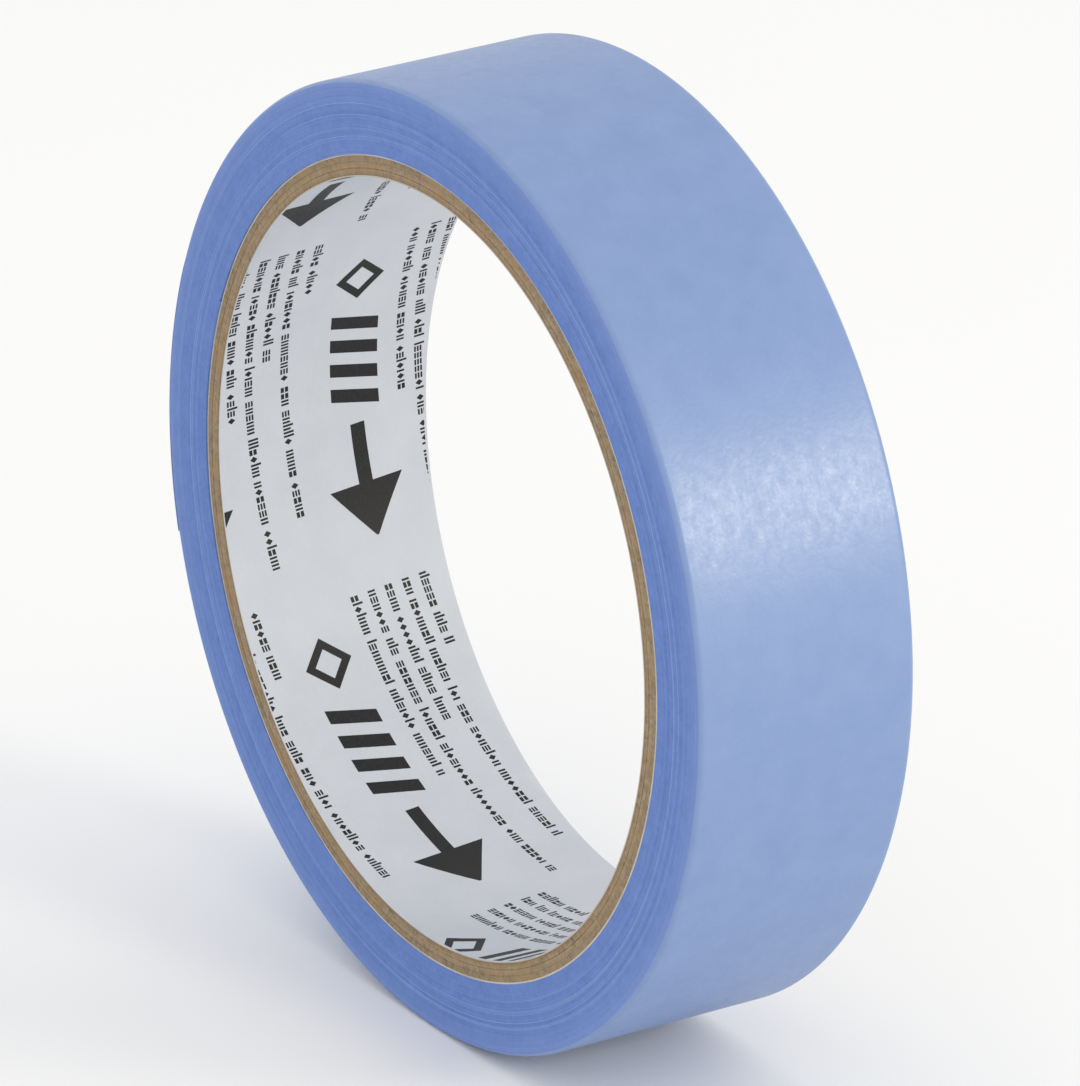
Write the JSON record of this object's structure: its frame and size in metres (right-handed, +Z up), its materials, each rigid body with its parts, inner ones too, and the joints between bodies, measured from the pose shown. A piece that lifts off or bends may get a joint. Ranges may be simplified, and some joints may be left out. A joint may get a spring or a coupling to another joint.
{
  "type": "masking tape roll",
  "caption": "Roll of blue paper masking tape on a paper core with a printed liner, its free end peeling off the roll.",
  "frame": {"origin": "centre of the core's bore, halfway between the roll's two end faces", "axes": "+Y along the bore, away from the end face seen in use; +Z up, with the roll standing on its rim; the tape's free end lies on the -X side and points down"},
  "size_m": [0.0949, 0.024, 0.0947],
  "materials": {
    "liner_paper": "satin",
    "kraft_board": "matte",
    "pale_paper": "matte",
    "tape_paper": "satin"
  },
  "bodies": {
    "roll": {"printed_liner": "liner_paper", "core_ply_inner": "kraft_board", "core_ply_middle": "kraft_board", "core_ply_outer": "kraft_board", "core_face_ply": "pale_paper", "tape_winding": "tape_paper", "tape_outer_turn": "tape_paper"},
    "leader_root": {"leader_root": "tape_paper"},
    "leader_second": {"leader_second": "tape_paper"},
    "leader_third": {"leader_third": "tape_paper"},
    "leader_tip": {"leader_tip": "tape_paper"}
  },
  "joints": [
    {"name": "tape_peel", "type": "hinge", "parent": "roll", "child": "leader_root", "pos_m": [-0.04401, 0, 0.01778], "axis": [0, 1, 0], "range_deg": [0, 90]},
    {"name": "second_bend", "type": "hinge", "parent": "leader_root", "child": "leader_second", "pos_m": [-0.04629, 0, 0.01056], "axis": [0, 1, 0], "range_deg": [0, 9]},
    {"name": "third_bend", "type": "hinge", "parent": "leader_second", "child": "leader_third", "pos_m": [-0.04741, 0, 0.00307], "axis": [0, 1, 0], "range_deg": [0, 9]},
    {"name": "tip_bend", "type": "hinge", "parent": "leader_third", "child": "leader_tip", "pos_m": [-0.04734, 0, -0.00451], "axis": [0, 1, 0], "range_deg": [0, 9]}
  ],
  "couplings": [
    {"joint": "second_bend", "follows": "tape_peel", "ratio": 0.1},
    {"joint": "third_bend", "follows": "tape_peel", "ratio": 0.1},
    {"joint": "tip_bend", "follows": "tape_peel", "ratio": 0.1}
  ]
}
